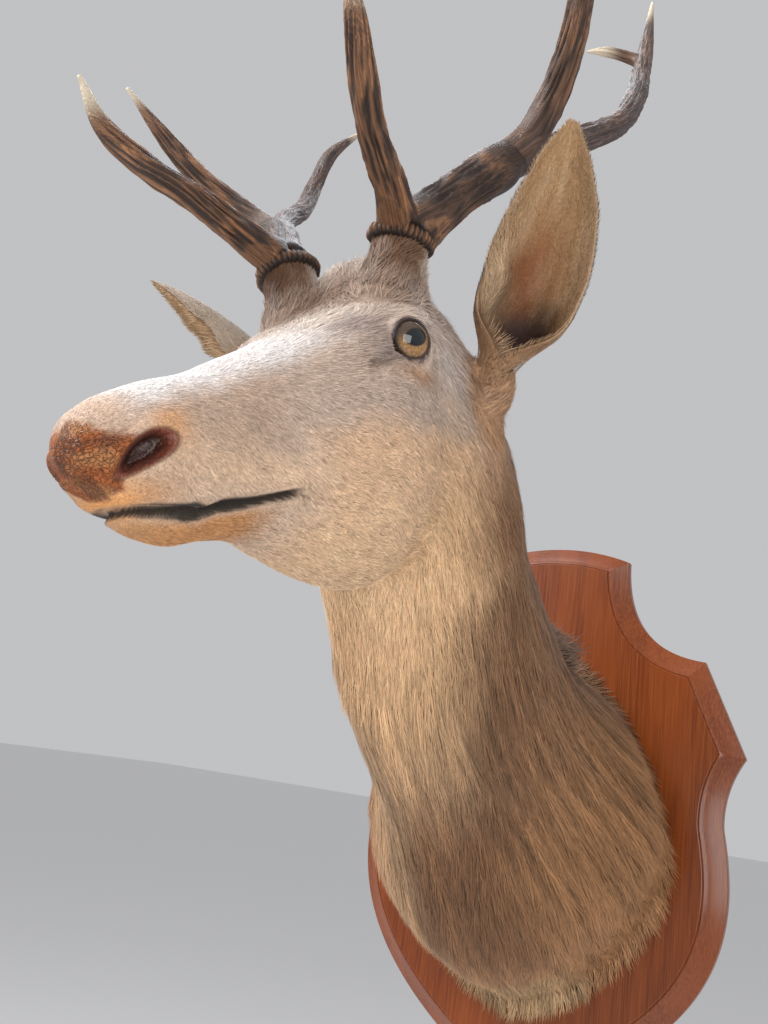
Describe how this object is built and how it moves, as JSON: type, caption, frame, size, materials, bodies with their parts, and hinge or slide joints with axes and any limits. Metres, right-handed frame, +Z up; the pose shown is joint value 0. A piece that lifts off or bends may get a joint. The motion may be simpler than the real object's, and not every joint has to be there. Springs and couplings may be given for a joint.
{
  "type": "red deer stag head mount",
  "caption": "Red deer stag head and neck with branching antlers and raised ears, mounted on a shield-shaped varnished board that hangs flat on a wall.",
  "frame": {"origin": "centre of the board's back face, on the wall", "axes": "+X to the stag's left, +Y into the wall, +Z up"},
  "size_m": [0.4883, 0.756, 1.1794],
  "materials": {
    "wood": "satin varnish",
    "coat": "short and long deer hair",
    "ear": "thin furred skin",
    "eye": "polished glass eye",
    "antler": "rough grooved antler with polished tips"
  },
  "bodies": {
    "root": {"board": "wood", "breast": "coat", "neck_lower": "coat", "neck_upper": "coat", "head": "coat", "muzzle": "coat", "lower_jaw": "coat", "eye_left": "eye", "eye_right": "eye", "ear_left": "ear", "ear_right": "ear", "antler_left_burr": "antler", "antler_left_beam": "antler", "antler_left_brow_tine": "antler", "antler_left_trez_tine": "antler", "antler_left_rear_beam": "antler", "antler_left_rear_tine": "antler", "antler_right_burr": "antler", "antler_right_beam": "antler", "antler_right_brow_tine": "antler", "antler_right_trez_tine": "antler", "antler_right_rear_beam": "antler"}
  },
  "joints": []
}
